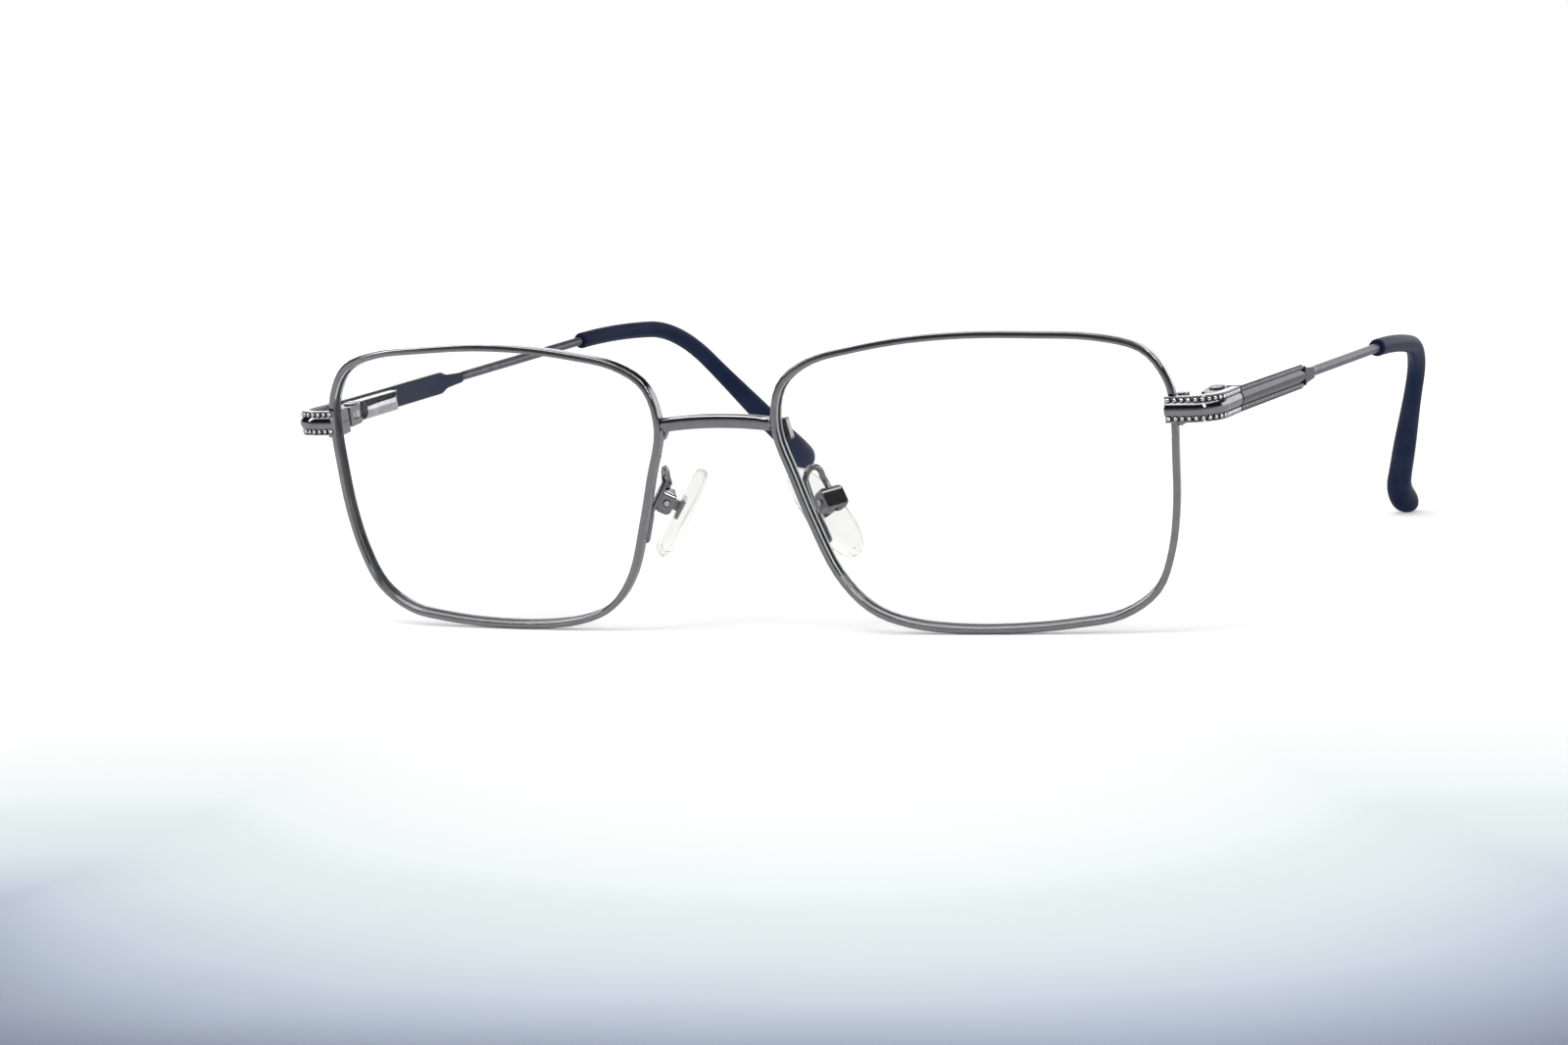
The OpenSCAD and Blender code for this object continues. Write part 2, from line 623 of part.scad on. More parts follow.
// Plastic tips: a skin round the wire that widens into a flat paddle, with the wire's bore inside
tip_sides = 12;
bore_r = (wire_r + fit) / cos(180 / tip_sides);
end_round = paddle_w / 2;
paddle_run = 12;         // the paddle's neck lies this far before the end
neck_w = 3.4;
neck_t = 3.6;
function tip_half_w(s) =
    let (w = lookup(s, [[0, sleeve_d / 2], [bend_end, sleeve_d / 2 + 0.1], [tip_end - paddle_run, neck_w / 2],
            [tip_end - end_round, paddle_w / 2]]),
        k = max(0, (s - tip_end + end_round) / end_round))
    w * sqrt(max(0, 1 - k * k));
function tip_half_t(s) =
    let (w = lookup(s, [[0, sleeve_d / 2], [bend_end, sleeve_d / 2 + 0.1], [tip_end - paddle_run, neck_t / 2],
            [tip_end - end_round, paddle_t / 2]]),
        k = max(0, (s - tip_end + end_round) / end_round))
    w * sqrt(max(0, 1 - k * k));
function tip_ring(s, half_w, half_t, sides) =
    [for (p = bend_ring(s, half_w, half_t, sides)) p + tip_curl(s)];
module temple_tip(side) {
    outer_s = concat([0, 0.12, 0.4], [for (i = [1 : 4]) i * ease_l / 4],
        [for (i = [1 : 10]) ease_l + i * (bend_end - ease_l) / 10],
        [for (i = [1 : 6]) bend_end + i * (end_l - end_round) / 6],
        [for (a = [20 : 20 : 80]) tip_end - end_round * (1 - sin(a))], [tip_end - 0.01]);
    inner_s = concat([for (i = [0 : 4]) i * ease_l / 4],
        [for (i = [1 : 10]) ease_l + i * (bend_end - ease_l) / 10],
        [(bend_end + wire_stop) / 2, wire_stop + 0.05]);
    start_round = [0.82, 0.94, 1];
    outer = [for (i = [0 : len(outer_s) - 1])
        let (k = i < 3 ? start_round[i] : 1)
        tip_ring(outer_s[i], k * tip_half_w(outer_s[i]), k * tip_half_t(outer_s[i]), tip_sides)];
    inner = [for (i = [len(inner_s) - 1 : -1 : 0]) bend_ring(inner_s[i], bore_r, bore_r, tip_sides)];
    color([0.08, 0.10, 0.20]) on_side(side) at_temple(side)
        translate([temple_offset, sleeve_y, 0]) rotate([0, bend_in, 0])
            skin(concat(inner, outer), tip_sides);
}

// Pad arms: a plate brazed behind the rim and a wire that loops up and down to the pad box
arm_r = arm_d / 2;
loop_top = [11.0, 4.2, 0.2];    // the middle of the wire at the top of its loop
loop_reach = [0.55, 1.45, 0];  // from the loop's middle to its rear strand
arm_sides = 8;
plate_r = arm_r + 0.2;
box_back = 1.15;
box_front = -1.0;
box_h = 3.4;
arm_in = 0.5;            // how deep the wire runs into the box's top
arm_seat = [0.1, rim_d / 2 + plate_r - braze, 0];
arm_top = on_surface([-24.2, -5.4]) + arm_seat;
arm_low = on_surface([-23.1, -8.7]) + arm_seat;
// The wire's middle line: up from the plate, over the loop and down to the box's top
arm_path = let (r = norm(loop_reach), mid = loop_top - [0, 0, r]) concat(
    [arm_top + [0, 0, -0.6], arm_top],
    [for (a = [180 : -20 : 0]) mid + loop_reach * cos(a) + [0, 0, r * sin(a)]],
    [on_pad_box([0.65, 0, box_h / 2 + 0.7]), on_pad_box([box_back - arm_r, 0, box_h / 2 - arm_in])]
);
module pad_arm(side) {
    last = len(arm_path) - 1;
    rings = [for (i = [0 : last])
        let (d = unit(arm_path[min(last, i + 1)] - arm_path[max(0, i - 1)]),
            e = unit(cross(d, [1, 0, 0])), g = cross(d, e))
        [for (j = [0 : arm_sides - 1])
            arm_path[i] + arm_r * (e * cos(j * 360 / arm_sides) + g * sin(j * 360 / arm_sides))]];
    color([0.42, 0.42, 0.44]) on_side(side) {
        capsule(arm_top, arm_low, plate_r);
        skin(rings, arm_sides);
    }
}
module rounded(w, h, r) {
    square([w - 2 * r, h], center = true);
    square([w, h - 2 * r], center = true);
    for (x = [-1, 1], y = [-1, 1])
        translate([x * (w / 2 - r), y * (h / 2 - r)]) circle(r = r);
}
// Pad boxes: a block with a channel that opens to the pad, crossed by a screw
box_l = 3.5;
channel_w = 1.0;
channel_end = 0.8;
box_round = 0.85;
lug_t = 0.8;
lug_r = 0.7;
pad_screw_r = pad_screw_d / 2;
screw_proud = 0.25;
pad_head_r = 0.6;
pad_head_t = 0.3;
module pad_box(side) {
    color([0.45, 0.45, 0.47]) on_side(side) at_pad_box() difference() {
        intersection() {
            translate([0, -box_l / 2, 0]) rotate([-90, 0, 0]) linear_extrude(box_l)
                translate([(box_back + box_front) / 2, 0]) rounded(box_back - box_front, box_h, box_round);
            translate([box_front - over, 0, 0]) rotate([90, 0, 90])
                linear_extrude(box_back - box_front + 2 * over) rounded(box_l, box_h, box_round);
        }
        translate([box_front - over, -channel_w / 2, -box_h])
            cube([channel_end - box_front + over, channel_w, 2 * box_h]);
        translate([0, -box_l, 0]) along_y(pad_screw_r + fit, 2 * box_l);
    }
}
module pad_screw(side) {
    color([0.6, 0.6, 0.62]) on_side(side) at_pad_box() translate([0, box_l / 2, 0])
        rotate([-90, 0, 0]) slotted_screw(pad_screw_r, box_l + screw_proud, pad_head_r, pad_head_t);
}
// Pad inserts: a metal lug on the screw, with a plate moulded into the pad
pad_back = -1.55;
insert_t = 0.5;
insert_in = 0.4;         // how deep the plate lies under the pad's back
insert_w = 2.0;
insert_h = 2.8;
module pad_insert(side) {
    color([0.55, 0.55, 0.57]) on_side(side) at_pad_box() difference() {
        union() {
            translate([0, -lug_t / 2, 0]) along_y(lug_r, lug_t);
            translate([pad_back - insert_in - insert_t / 2, -lug_t / 2, -lug_r])
                cube([insert_in + insert_t / 2 - pad_back, lug_t, 2 * lug_r]);
            rotate([pad_tilt, 0, 0])
                translate([pad_back - insert_in - insert_t, -insert_w / 2, -insert_h / 2])
                    cube([insert_t, insert_w, insert_h]);
        }
        translate([0, -lug_t, 0]) along_y(pad_screw_r + 0.05, 2 * lug_t);
    }
}
// Nose pads: a crowned soft form, narrower at the top
pad_drop = -0.7;
pad_sides = 24;
function pad_ring(share, depth) =
    [for (j = [0 : pad_sides - 1])
        let (a = j * 360 / pad_sides, c = cos(a), s = sin(a),
            y = pad_w / 2 * sign(c) * pow(abs(c), 0.85) * (1 - 0.06 * s),
            z = pad_l / 2 * sign(s) * pow(abs(s), 0.9))
        [pad_back - depth, y * share, z * share + pad_drop]];
module nose_pad(side) {
    layers = [[0.5, 0], [0.78, 0.04], [0.92, 0.22], [1, 0.5], [0.97, 0.72], [0.86, 0.88],
        [0.62, 0.96], [0.3, 1]];
    color([0.93, 0.93, 0.86, 0.5]) on_side(side) at_pad_box() rotate([pad_tilt, 0, 0])
        skin([for (l = layers) pad_ring(l[0], l[1] * pad_t)], pad_sides);
}

rim(1);  // rim_left
rim(-1);  // rim_right
lens(1);  // lens_left
lens(-1);  // lens_right
bridge();
end_piece(1);  // end_piece_left
end_piece(-1);  // end_piece_right
rim_lock_upper(1);  // rim_lock_upper_left
rim_lock_upper(-1);  // rim_lock_upper_right
rim_lock_lower(1);  // rim_lock_lower_left
rim_lock_lower(-1);  // rim_lock_lower_right
rim_screw(1);  // rim_screw_left
rim_screw(-1);  // rim_screw_right
hinge_leaf(1);  // hinge_leaf_left
hinge_leaf(-1);  // hinge_leaf_right
hinge_screw(1);  // hinge_screw_left
hinge_screw(-1);  // hinge_screw_right
spring_slider(1);  // spring_slider_left
spring_slider(-1);  // spring_slider_right
slider_cap(1);  // slider_cap_left
slider_cap(-1);  // slider_cap_right
hinge_spring(1);  // hinge_spring_left
hinge_spring(-1);  // hinge_spring_right
spring_collar(1);  // spring_collar_left
spring_collar(-1);  // spring_collar_right
spring_box(1);  // spring_box_left
spring_box(-1);  // spring_box_right
temple(1);  // temple_left
temple(-1);  // temple_right
enamel(1);  // enamel_left
enamel(-1);  // enamel_right
temple_tip(1);  // temple_tip_left
temple_tip(-1);  // temple_tip_right
pad_arm(1);  // pad_arm_left
pad_arm(-1);  // pad_arm_right
pad_box(1);  // pad_box_left
pad_box(-1);  // pad_box_right
pad_screw(1);  // pad_screw_left
pad_screw(-1);  // pad_screw_right
pad_insert(1);  // pad_insert_left
pad_insert(-1);  // pad_insert_right
nose_pad(1);  // nose_pad_left
nose_pad(-1);  // nose_pad_right
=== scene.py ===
import json
import math

import bmesh
import bpy
from mathutils import Matrix, Vector


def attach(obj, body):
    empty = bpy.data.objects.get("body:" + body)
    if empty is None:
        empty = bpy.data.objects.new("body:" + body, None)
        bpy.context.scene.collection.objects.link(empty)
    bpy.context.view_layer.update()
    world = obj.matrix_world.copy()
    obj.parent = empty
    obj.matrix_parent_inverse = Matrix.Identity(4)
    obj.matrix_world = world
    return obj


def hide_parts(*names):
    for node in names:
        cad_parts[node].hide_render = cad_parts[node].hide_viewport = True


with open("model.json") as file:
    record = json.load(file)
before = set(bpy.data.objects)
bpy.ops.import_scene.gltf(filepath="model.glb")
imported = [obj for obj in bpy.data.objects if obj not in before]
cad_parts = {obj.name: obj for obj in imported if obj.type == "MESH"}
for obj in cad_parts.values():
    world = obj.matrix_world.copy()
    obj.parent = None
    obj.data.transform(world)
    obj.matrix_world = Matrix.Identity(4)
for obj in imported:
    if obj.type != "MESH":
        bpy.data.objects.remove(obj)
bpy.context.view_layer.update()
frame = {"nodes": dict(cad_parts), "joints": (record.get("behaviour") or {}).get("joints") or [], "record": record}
MM = 0.001
JOINTS = {joint["name"]: joint for joint in frame["joints"]}
SIDES = {"left": 1, "right": -1}

# Sizes in mm, as in the part's source. The front's own axes are X to the wearer's left,
# Y backwards and Z up, from the point midway between the lens centres.
HINGE = Vector((64.8, 13.0, 6.5))
TEMPLE_X = 2.9
PLATE_T = 1.1
STRIP_OUT = TEMPLE_X + PLATE_T / 2
STRIP_FRONT = -10.667
STRIP_START = -3.4
CORNER_R = 4.2
SEAM_Y = -1.25
END_DROP = math.radians(5.8)
BLADE_L = 28.0
SLEEVE_Y = 69.0
EASE_L = 21.6
EASE_A = math.radians(7.7)
BEND_R = 20.7
BEND_A = math.radians(44)
BEND_IN = math.radians(21.9)
END_L = 30.4
SLEEVE_D = 2.5
NECK_W = 3.4
NECK_T = 3.6
PADDLE_W = 5.2
PADDLE_T = 3.8
PADDLE_RUN = 12
CURL_RUN = 8
CURL_OUT = 2.0
CURL_BACK = 2.2
WIRE_R = 0.675
PAD_BOX = Vector((12.3, 5.9, -4.7))
PAD_LEAN = math.radians(32)
PAD_SPREAD = math.radians(29)
PAD_TILT = math.radians(16)
PAD_L = 14.4
PAD_W = 6.0
PAD_T = 2.4
PAD_BACK = -1.55
PAD_DROP = -0.7

# The camera: a pinhole fitted to the photograph, in the front's own axes
IMAGE_W = 1600
FOCAL_PX = 3745.2
CAMERA_AT = Vector((217.95, -419.91, 107.76))
YAW = math.radians(26.572)
PITCH = math.radians(13.646)
ROLL = math.radians(6.858)
SENSOR = 36.0
CLIP_START = 0.01


# Places. The left fold joint gives the front's axes in the row's frame.
def front_frame():
    joint = JOINTS["fold_left"]
    up = Vector(joint["axis"]).normalized()
    across = Vector((1, 0, 0))
    back = up.cross(across)
    turn = Matrix((across, back, up)).transposed()
    origin = Vector(joint["pos_m"]) - turn @ HINGE * MM
    return Matrix.Translation(origin) @ turn.to_4x4() @ Matrix.Scale(MM, 4)


FRONT = front_frame()
MIRROR = Matrix.Scale(-1, 4, (1, 0, 0))


def on_side(name):
    """The front's axes, mirrored for the wearer's right."""
    return FRONT if SIDES[name] > 0 else FRONT @ MIRROR


def at_temple(name):
    """A temple's axes at its hinge: Y runs back along the temple."""
    inverse = on_side(name).to_3x3().inverted() * MM
    back = (inverse @ Vector(JOINTS["spring_" + name]["axis"])).normalized()
    splay = math.atan2(-back.x, back.y)
    fall = math.asin(-back.z)
    turn = Matrix.Rotation(splay, 4, "Z") @ Matrix.Rotation(-fall, 4, "X")
    return on_side(name) @ Matrix.Translation(HINGE) @ turn


def at_end_piece(name):
    return on_side(name) @ Matrix.Translation(HINGE) @ Matrix.Rotation(-END_DROP, 4, "X")


def at_bend(name):
    """The tip's axes at its mouth, turned inwards so that the bend lies in the YZ plane."""
    move = Matrix.Translation((TEMPLE_X, SLEEVE_Y, 0))
    return at_temple(name) @ move @ Matrix.Rotation(BEND_IN, 4, "Y")


def at_pad(name):
    turn = Matrix.Rotation(-PAD_SPREAD, 4, "Z") @ Matrix.Rotation(-PAD_LEAN, 4, "Y")
    return on_side(name) @ Matrix.Translation(PAD_BOX) @ turn


# Node trees. Ambient occlusion, for painted shade in hollows, counts as fully dark at HOLLOW_DARK and as open at
# HOLLOW_OPEN.
EDGE_SAMPLES = 16
HOLLOW_SAMPLES = 6
HOLLOW_DARK = 0.35
HOLLOW_OPEN = 0.85


class Graph:
    """Short calls that add nodes to a material or a world."""

    def __init__(self, owner):
        owner.use_nodes = True
        self.nodes = owner.node_tree.nodes
        self.links = owner.node_tree.links

    def feed(self, socket, value):
        """Sets an input from an output, a colour or a number."""
        if isinstance(value, bpy.types.NodeSocket):
            self.links.new(value, socket)
        else:
            socket.default_value = value

    def add(self, kind, inputs=None, **settings):
        node = self.nodes.new("ShaderNode" + kind)
        for name, value in settings.items():
            setattr(node, name, value)
        for name, value in (inputs or {}).items():
            self.feed(node.inputs[name], value)
        return node

    def math(self, operation, *values):
        return self.add("Math", dict(enumerate(values)), operation=operation).outputs["Value"]

    def place(self):
        return self.add("TexCoord").outputs["Object"]

    def along(self, place, direction):
        """How far a place lies in a direction."""
        return self.add("VectorMath", {0: place, 1: direction}, operation="DOT_PRODUCT").outputs["Value"]

    def scaled(self, colour, factor):
        node = self.add("VectorMath", {"Vector": colour, "Scale": factor}, operation="SCALE")
        return node.outputs["Vector"]

    def noise(self, scale, detail, stretch=(1, 1, 1)):
        """A noise in object coordinates; scale counts waves per metre."""
        mapping = self.add("Mapping", {"Vector": self.place(), "Scale": stretch})
        settings = {"Vector": mapping.outputs["Vector"], "Scale": scale, "Detail": detail}
        return self.add("TexNoise", settings).outputs["Fac"]

    def spread(self, value, low=0.0, high=1.0, start=0.0, end=1.0, kind="LINEAR"):
        """Maps a value from start..end to low..high."""
        limits = {"Value": value, "From Min": start, "From Max": end, "To Min": low, "To Max": high}
        return self.add("MapRange", limits, interpolation_type=kind).outputs["Result"]

    def step(self, value, start, end):
        """Goes softly from 0 at start to 1 at end."""
        return self.spread(value, start=start, end=end, kind="SMOOTHSTEP")

    def stops(self, value, colours):
        """Maps a value to a colour by its (place, colour) stops."""
        node = self.add("ValToRGB", {"Fac": value})
        elements = node.color_ramp.elements
        while len(elements) < len(colours):
            elements.new(0.5)
        for element, (place, colour) in zip(elements, colours):
            element.position = place
            element.color = (*colour, 1)
        return node.outputs["Color"]

    def ramp(self, value, low, high, start=0.3, end=0.7):
        return self.stops(value, [(start, low), (end, high)])

    def mix(self, factor, first, second):
        """The first colour at factor 0, and the second at 1."""
        node = self.add("Mix", data_type="RGBA")
        for name, value in (("Factor", factor), ("A", first), ("B", second)):
            self.feed(node.inputs[name], value)
        return node.outputs["Result"]

    def painted_hollow_shade(self, colour, reach, tone):
        """The colour with painted shade: darker where other metal stands closer than reach, in metres."""
        near = self.add("AmbientOcclusion", {"Distance": reach}, samples=HOLLOW_SAMPLES)
        share = self.spread(near.outputs["AO"], low=tone, start=HOLLOW_DARK, end=HOLLOW_OPEN)
        return self.scaled(colour, share)

    def bump(self, shader, height, strength, depth, edge=0.0):
        """Small relief on a softened edge; depth and edge are in metres."""
        relief = {"Height": height, "Strength": strength, "Distance": depth}
        if edge:
            relief["Normal"] = self.add("Bevel", {"Radius": edge}, samples=EDGE_SAMPLES).outputs["Normal"]
        self.feed(shader.inputs["Normal"], self.add("Bump", relief).outputs["Normal"])


def new_material(name):
    material = bpy.data.materials.new(name)
    graph = Graph(material)
    return material, graph, graph.nodes["Principled BSDF"]


# Materials. A temple's blade gives way to drawn wire at WIRE_FROM, in metres along the row's Y,
# within WIRE_RUN. The wire's colour is 1 + WIRE_PALE times the blade's.
GLOSS_SPREAD = 0.06
WIRE_FROM = -0.0235
WIRE_RUN = 0.003
WIRE_PALE = 1.55


def plated_metal(name, dark, light, gloss, edge=0.00006, wire=0.0):
    """Polished plating: faint clouding, fine polishing lines, softened edges and painted shade in its hollows.
    Behind the blades the drawn wire is more satin, by the value of wire."""
    material, graph, shader = new_material(name)
    cloud = graph.noise(scale=700, detail=3)
    grain = graph.noise(scale=5000, detail=4, stretch=(1, 0.1, 1))
    # The plating's colour is darkened where other metal stands near: painted shade in its hollows.
    colour = graph.painted_hollow_shade(graph.ramp(cloud, dark, light), reach=0.0005, tone=0.25)
    rough = graph.spread(grain, low=gloss, high=gloss + GLOSS_SPREAD)
    if wire:
        behind = graph.along(graph.place(), (0, 1, 0))
        satin = graph.spread(behind, high=wire, start=WIRE_FROM, end=WIRE_FROM + WIRE_RUN)
        rough = graph.math("ADD", rough, satin)
        colour = graph.scaled(colour, graph.math("MULTIPLY_ADD", satin, WIRE_PALE / wire, 1.0))
    graph.feed(shader.inputs["Base Color"], colour)
    graph.feed(shader.inputs["Roughness"], rough)
    shader.inputs["Metallic"].default_value = 1.0
    shader.inputs["Specular Tint"].default_value = (0.75, 0.75, 0.78, 1)
    graph.bump(shader, grain, strength=0.06, depth=0.000005, edge=edge)
    return material


def turned_steel(name, tone):
    """Turned screws and wound springs: brighter than the plating and less polished."""
    material, graph, shader = new_material(name)
    ring = graph.noise(scale=9000, detail=3)
    graph.feed(shader.inputs["Base Color"], graph.ramp(ring, [0.8 * tone] * 3, [1.1 * tone] * 3))
    graph.feed(shader.inputs["Roughness"], graph.spread(ring, low=0.16, high=0.3))
    shader.inputs["Metallic"].default_value = 1.0
    graph.bump(shader, ring, strength=0.08, depth=0.00001, edge=0.00004)
    return material


def acetate(name):
    """Satin navy plastic, with depth from slow colour clouds."""
    material, graph, shader = new_material(name)
    cloud = graph.noise(scale=260, detail=3)
    fine = graph.noise(scale=2600, detail=5)
    colour = graph.ramp(cloud, (0.0085, 0.0135, 0.034), (0.0135, 0.0205, 0.048))
    graph.feed(shader.inputs["Base Color"], colour)
    graph.feed(shader.inputs["Roughness"], graph.spread(fine, low=0.36, high=0.5))
    shader.inputs["Specular IOR Level"].default_value = 0.1
    shader.inputs["Specular Tint"].default_value = (0.62, 0.78, 1, 1)
    shader.inputs["IOR"].default_value = 1.25
    graph.bump(shader, fine, strength=0.06, depth=0.00001)
    return material


def enamel(name):
    """Smooth navy enamel under a thin gloss."""
    material, graph, shader = new_material(name)
    fine = graph.noise(scale=3200, detail=4)
    colour = graph.ramp(fine, (0.012, 0.016, 0.038), (0.019, 0.024, 0.055))
    graph.feed(shader.inputs["Base Color"], colour)
    graph.feed(shader.inputs["Roughness"], graph.spread(fine, low=0.12, high=0.22))
    shader.inputs["Specular IOR Level"].default_value = 0.1
    shader.inputs["IOR"].default_value = 1.2
    shader.inputs["Coat Weight"].default_value = 0.02
    shader.inputs["Coat Roughness"].default_value = 0.05
    graph.bump(shader, fine, strength=0.06, depth=0.00001, edge=0.00005)
    return material


def clear_lens(name):
    """A clear lens: see-through face on, and mirror-like only at a low angle."""
    material, graph, shader = new_material(name)
    haze = graph.noise(scale=180, detail=2)
    facing = graph.add("LayerWeight", {"Blend": 0.22})
    graph.feed(shader.inputs["Alpha"], graph.spread(facing.outputs["Fresnel"], low=0.0, high=0.5))
    graph.feed(shader.inputs["Base Color"], graph.ramp(haze, (0.90, 0.94, 0.93), (0.95, 0.97, 0.96)))
    graph.feed(shader.inputs["Roughness"], graph.spread(haze, low=0.01, high=0.03))
    shader.inputs["IOR"].default_value = 1.5
    shader.inputs["Transmission Weight"].default_value = 0.0
    return material


def clear_silicone(name):
    """Soft clear plastic, a little yellowed where it is seen edge on."""
    material, graph, shader = new_material(name)
    cloud = graph.noise(scale=420, detail=3)
    facing = graph.add("LayerWeight", {"Blend": 0.35})
    tint = graph.math("MULTIPLY_ADD", cloud, 0.2, facing.outputs["Facing"])
    colour = graph.ramp(tint, (0.99, 0.99, 0.955), (0.78, 0.8, 0.35), start=0.4, end=0.95)
    graph.feed(shader.inputs["Base Color"], colour)
    graph.feed(shader.inputs["Roughness"], graph.spread(cloud, low=0.02, high=0.08))
    shader.inputs["IOR"].default_value = 1.2
    shader.inputs["Transmission Weight"].default_value = 0.96
    shader.inputs["Alpha"].default_value = 0.62
    graph.bump(shader, cloud, strength=0.12, depth=0.00005)
    return material


GUNMETAL = plated_metal("gunmetal", (0.215, 0.212, 0.228), (0.25, 0.246, 0.262), gloss=0.05)
END_GUNMETAL = plated_metal("end_gunmetal", (0.235, 0.232, 0.242), (0.275, 0.271, 0.28),
                            gloss=0.03, edge=0.0004)
RIM_GUNMETAL = plated_metal("rim_gunmetal", (0.225, 0.222, 0.238), (0.262, 0.258, 0.275),
                            gloss=0.03, edge=0.00045)
# The temples' plating is a far darker copy of the gunmetal: painted shade, for how dark the blades and wires look
# in this light.
SHADED_BLADE_METAL = plated_metal("shaded_blade_metal", (0.036, 0.035, 0.042), (0.052, 0.051, 0.06),
                              gloss=0.07, wire=0.25)
PAD_GUNMETAL = plated_metal("pad_gunmetal", (0.19, 0.187, 0.2), (0.235, 0.231, 0.245),
                            gloss=0.04, edge=0.00035)
# The beads' plating is a far brighter copy of the gunmetal they sit on: painted highlight, for the light that each
# bead catches.
BEAD_HIGHLIGHT_METAL = plated_metal("bead_highlight_metal", (0.7, 0.69, 0.7), (0.8, 0.79, 0.8), gloss=0.06)
BLADE_BEAD_HIGHLIGHT_METAL = plated_metal("blade_bead_highlight_metal", (0.24, 0.236, 0.25), (0.3, 0.296, 0.31), gloss=0.1)
BRIGHT_GUNMETAL = plated_metal("bright_gunmetal", (0.34, 0.335, 0.355), (0.46, 0.455, 0.475), gloss=0.06)

BY_SLOT = {
    "frame_metal": GUNMETAL, "hinge_metal": BRIGHT_GUNMETAL,
    "screw_steel": turned_steel("turned_steel", tone=0.5),
    "spring_steel": turned_steel("spring_steel", tone=0.62),
    "lens_clear": clear_lens("clear_lens"), "enamel_navy": enamel("navy_enamel"),
    "tip_navy": acetate("navy_acetate"), "pad_clear": clear_silicone("clear_silicone"),
}

# Kinds of piece whose plating differs from that of the rest of their slot
BY_KIND = {
    "rim": RIM_GUNMETAL, "bridge": RIM_GUNMETAL, "temple": SHADED_BLADE_METAL,
    "pad_arm": PAD_GUNMETAL, "pad_box": PAD_GUNMETAL, "pad_insert": PAD_GUNMETAL,
    "rim_lock_upper": GUNMETAL, "rim_lock_lower": GUNMETAL, "hinge_leaf": GUNMETAL,
    "end_piece": END_GUNMETAL, "end_beads": BEAD_HIGHLIGHT_METAL, "blade_beads": BLADE_BEAD_HIGHLIGHT_METAL,
}


def finish_of(name, slot):
    """A piece's material by its kind, which is its name without the side, or else by its slot."""
    return BY_KIND.get(name.rsplit("_", 1)[0], BY_SLOT[slot])


# Shading of the CAD nodes: welded, and smooth up to an angle
WELD = 0.000002
SMOOTH_UP_TO = math.radians(32)


def smooth_group():
    group = bpy.data.node_groups.new("smooth_by_angle", "GeometryNodeTree")
    group.interface.new_socket("Geometry", in_out="INPUT", socket_type="NodeSocketGeometry")
    group.interface.new_socket("Geometry", in_out="OUTPUT", socket_type="NodeSocketGeometry")
    nodes, links = group.nodes, group.links
    start = nodes.new("NodeGroupInput")
    weld = nodes.new("GeometryNodeMergeByDistance")
    weld.inputs["Distance"].default_value = WELD
    faces = nodes.new("GeometryNodeSetShadeSmooth")
    edges = nodes.new("GeometryNodeSetShadeSmooth")
    edges.domain = "EDGE"
    edges.inputs["Shade Smooth"].default_value = False
    turn = nodes.new("GeometryNodeInputMeshEdgeAngle")
    sharp = nodes.new("FunctionNodeCompare")
    sharp.inputs["B"].default_value = SMOOTH_UP_TO
    links.new(turn.outputs["Unsigned Angle"], sharp.inputs["A"])
    links.new(sharp.outputs["Result"], edges.inputs["Selection"])
    end = nodes.new("NodeGroupOutput")
    links.new(start.outputs[0], weld.inputs["Geometry"])
    links.new(weld.outputs["Geometry"], faces.inputs["Geometry"])
    links.new(faces.outputs["Geometry"], edges.inputs["Geometry"])
    links.new(edges.outputs["Geometry"], end.inputs[0])
    return group


SMOOTH = smooth_group()


def dress(node, name, slot):
    """Gives a CAD node its material and its shading."""
    mesh = node.data
    if "custom_normal" in mesh.attributes:
        mesh.attributes.remove(mesh.attributes["custom_normal"])
    mesh.materials.clear()
    mesh.materials.append(finish_of(name, slot))
    modifier = node.modifiers.new("smooth", "NODES")
    modifier.node_group = SMOOTH


for part in frame["record"]["subparts"]:
    dress(frame["nodes"][part["node"]], part["node"], part["material_slot"])


# Pieces
def piece(name, mesh, body, slot, replaced=None):
    """A new piece that rides on a body and takes a slot's material."""
    mesh.materials.append(finish_of(name, slot))
    obj = bpy.data.objects.new(name, mesh)
    bpy.context.scene.collection.objects.link(obj)
    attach(obj, body)
    if replaced:
        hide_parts(replaced)


def to_mesh(form, name):
    """A smooth mesh from a bmesh, with its faces turned outwards."""
    mesh = bpy.data.meshes.new(name)
    bmesh.ops.recalc_face_normals(form, faces=form.faces)
    for face in form.faces:
        face.smooth = True
    form.to_mesh(mesh)
    form.free()
    return mesh


def loft(name, rings, place, closed_start=True):
    """A mesh through rings of points in mm; place turns them into the row's frame."""
    form = bmesh.new()
    rows = [[form.verts.new(place @ Vector(point)) for point in ring] for ring in rings]
    count = len(rows[0])
    for low, high in zip(rows, rows[1:]):
        for i in range(count):
            j = (i + 1) % count
            form.faces.new((low[i], low[j], high[j], high[i]))
    if closed_start:
        form.faces.new(rows[0][::-1])
    form.faces.new(rows[-1])
    return to_mesh(form, name)


def ease(value, table):
    """Steps between (place, size) pairs, softened at each pair."""
    if value <= table[0][0]:
        return table[0][1]
    for (a, low), (b, high) in zip(table, table[1:]):
        if value <= b:
            t = (value - a) / (b - a)
            return low + (high - low) * t * t * (3 - 2 * t)
    return table[-1][1]


